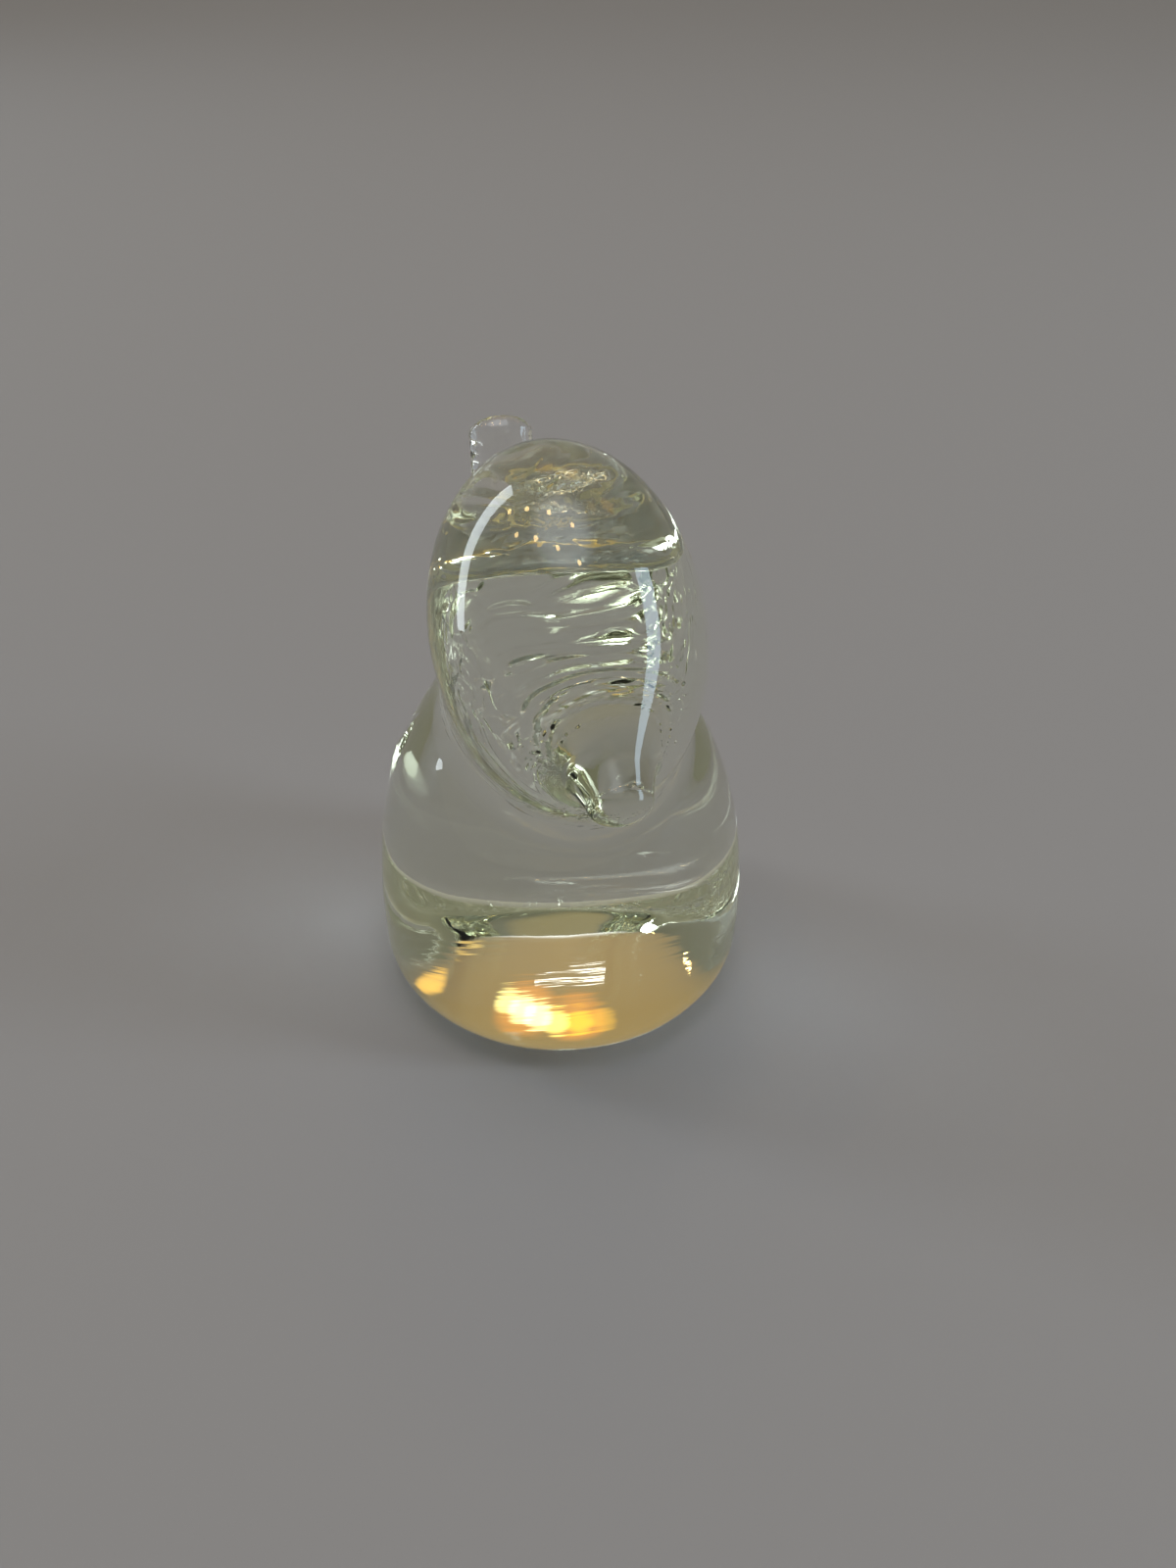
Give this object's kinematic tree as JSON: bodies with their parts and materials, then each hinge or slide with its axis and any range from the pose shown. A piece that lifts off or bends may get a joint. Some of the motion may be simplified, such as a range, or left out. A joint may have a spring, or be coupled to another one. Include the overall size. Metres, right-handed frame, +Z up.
{
  "type": "bird paperweight",
  "caption": "Clear solid glass bird with a round flat-ground body, egg-shaped head looking down, short pinched beak and raised tail; a paperweight that stands on its own foot.",
  "frame": {"origin": "centre of the flat ground foot that the bird stands on", "axes": "+Z up from the table, -Y towards the beak, +Y towards the tail, X across the bird"},
  "size_m": [0.05, 0.0702, 0.0746],
  "materials": {
    "clear_glass": "fire-polished clear soda-lime glass, foot ground and polished flat"
  },
  "bodies": {
    "root": {"body": "clear_glass", "head": "clear_glass", "beak": "clear_glass", "tail": "clear_glass"}
  },
  "joints": []
}
